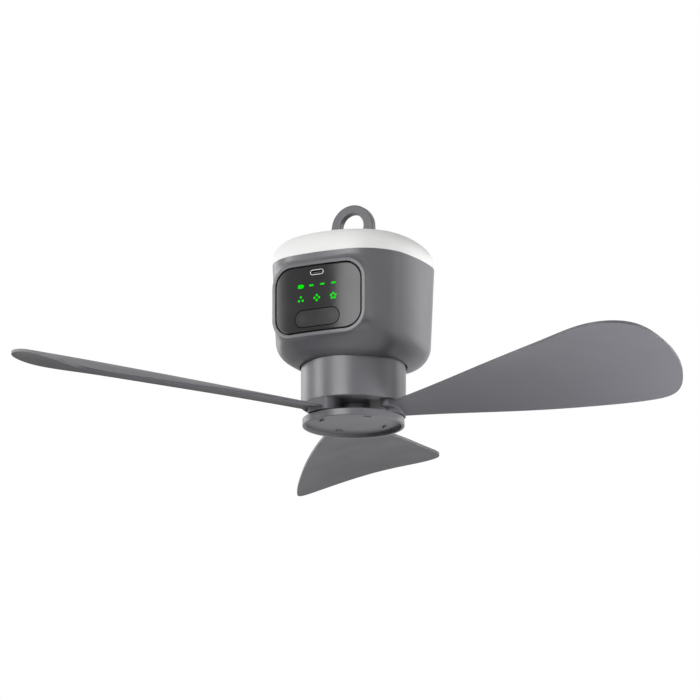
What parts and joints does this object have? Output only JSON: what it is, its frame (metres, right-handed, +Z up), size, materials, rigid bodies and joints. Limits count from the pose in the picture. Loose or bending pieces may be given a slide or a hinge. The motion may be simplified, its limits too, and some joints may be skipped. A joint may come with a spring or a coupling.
{
  "type": "ceiling fan",
  "caption": "Rechargeable ceiling fan with a lamp: twisted paddle blades under a rounded-square battery housing, with a frosted dome, a hanging eye and a dark control panel.",
  "frame": {"origin": "centre of the hanging eye", "axes": "+Z up along the spin axis, -Y towards the viewer of the control panel, +X to that viewer's right"},
  "size_m": [0.3639, 0.3939, 0.1369],
  "materials": {
    "housing_grey": "fine matte moulded plastic",
    "blade_grey": "fine matte moulded plastic",
    "lamp_white": "frosted white diffuser",
    "panel_black": "smoked glossy plastic",
    "key_black": "satin plastic",
    "light_green": "lit green light guide",
    "steel": "plain steel",
    "aluminium": "turned aluminium",
    "copper": "enamelled copper wire",
    "core_steel": "coated steel stack",
    "magnet": "sintered magnet",
    "board_green": "solder mask",
    "board_white": "white solder mask",
    "lamp_chip": "phosphor",
    "cell_wrap": "shrink wrap",
    "tray_black": "moulded plastic",
    "part_black": "moulded packages"
  },
  "bodies": {
    "housing": {"housing": "housing_grey", "diffuser_dome": "lamp_white", "top_frame": "tray_black", "frame_screws": "steel", "hanging_loop": "housing_grey", "loop_screws": "steel", "led_board": "board_white", "led_chips": "lamp_chip", "control_panel": "panel_black", "battery_lights": "light_green", "speed_lights": "light_green", "key_lugs": "tray_black", "control_board": "board_green", "key_switches": "part_black", "usb_shell": "steel", "usb_tongue": "part_black", "battery_cells": "cell_wrap", "battery_tray": "tray_black", "cell_tabs": "steel", "board_pillars": "tray_black", "main_board": "board_green", "board_parts": "part_black", "motor_plate": "aluminium", "plate_screws": "steel", "bearing_tube": "aluminium", "upper_bearing": "steel", "lower_bearing": "steel", "stator_core": "core_steel", "stator_windings": "copper"},
    "rotor": {"rotor_drum": "housing_grey", "flux_ring": "core_steel", "magnets": "magnet", "shaft": "steel", "shaft_clip": "steel", "hub_column": "housing_grey", "blade_1": "blade_grey", "blade_2": "blade_grey", "blade_3": "blade_grey"},
    "lock_cap": {"lock_cap": "housing_grey"},
    "key": {"rocker_key": "key_black"}
  },
  "joints": [
    {"name": "rotor_spin", "type": "hinge", "parent": "housing", "child": "rotor", "pos_m": [0, 0, -0.1], "axis": [0, 0, 1], "continuous": true},
    {"name": "cap_twist", "type": "hinge", "parent": "rotor", "child": "lock_cap", "pos_m": [0, 0, -0.117], "axis": [0, 0, 1], "range_deg": [0, 45]},
    {"name": "key_rock", "type": "hinge", "parent": "housing", "child": "key", "pos_m": [0, -0.041, -0.0666], "axis": [0, 0, 1], "range_deg": [-2.5, 2.5], "stiffness_Nm_per_rad": 0.4}
  ]
}
